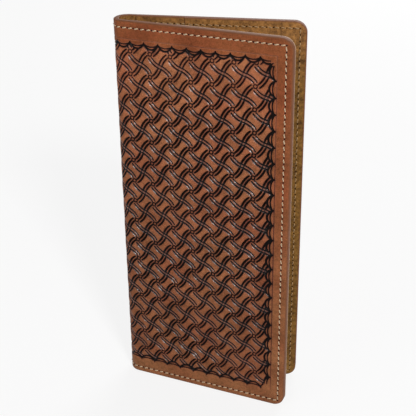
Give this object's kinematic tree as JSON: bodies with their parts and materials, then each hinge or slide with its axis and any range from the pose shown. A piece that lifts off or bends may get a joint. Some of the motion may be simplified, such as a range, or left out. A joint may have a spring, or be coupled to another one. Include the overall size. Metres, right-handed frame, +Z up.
{
  "type": "checkbook cover",
  "caption": "Tall tooled leather checkbook cover standing part open: basket-stamped covers, a folded spine, lining, long pockets and card pockets.",
  "frame": {"origin": "on the surface the cover stands on, under the middle of its box at rest", "axes": "+Z up along the height of the cover, the fold at -X and the free edges at +X, front cover on the -Y side and back cover on the +Y side"},
  "size_m": [0.084, 0.0304, 0.184],
  "materials": {
    "tooled_leather": "stamped basketweave, antiqued, satin",
    "lining_leather": "pull-up leather, waxed and scuffed, satin",
    "pocket_leather": "pull-up leather, waxed and scuffed, satin",
    "thread": "waxed twisted thread"
  },
  "bodies": {
    "back_cover": {"back_shell": "tooled_leather", "back_lining": "lining_leather", "back_long_pocket": "pocket_leather", "back_card_panel": "pocket_leather", "back_outer_thread": "thread", "back_inner_thread": "thread", "back_divider_thread": "thread"},
    "spine": {"spine_shell": "tooled_leather", "spine_lining": "lining_leather", "spine_outer_thread": "thread", "spine_inner_thread": "thread"},
    "front_cover": {"front_shell": "tooled_leather", "front_lining": "lining_leather", "front_long_pocket": "pocket_leather", "front_card_strip_low": "pocket_leather", "front_card_strip_high": "pocket_leather", "front_card_panel": "pocket_leather", "front_outer_thread": "thread", "front_inner_thread": "thread", "front_divider_thread": "thread"}
  },
  "joints": [
    {"name": "spine_bend", "type": "hinge", "parent": "back_cover", "child": "spine", "pos_m": [-0.03959, 0.00349, 0.092], "axis": [0, 0, -1], "range_deg": [-6.75, 83.25]},
    {"name": "cover_open", "type": "hinge", "parent": "spine", "child": "front_cover", "pos_m": [-0.03959, -0.00349, 0.092], "axis": [0, 0, -1], "range_deg": [-6.75, 83.25]}
  ],
  "couplings": [
    {"joint": "spine_bend", "follows": "cover_open", "ratio": 1}
  ]
}
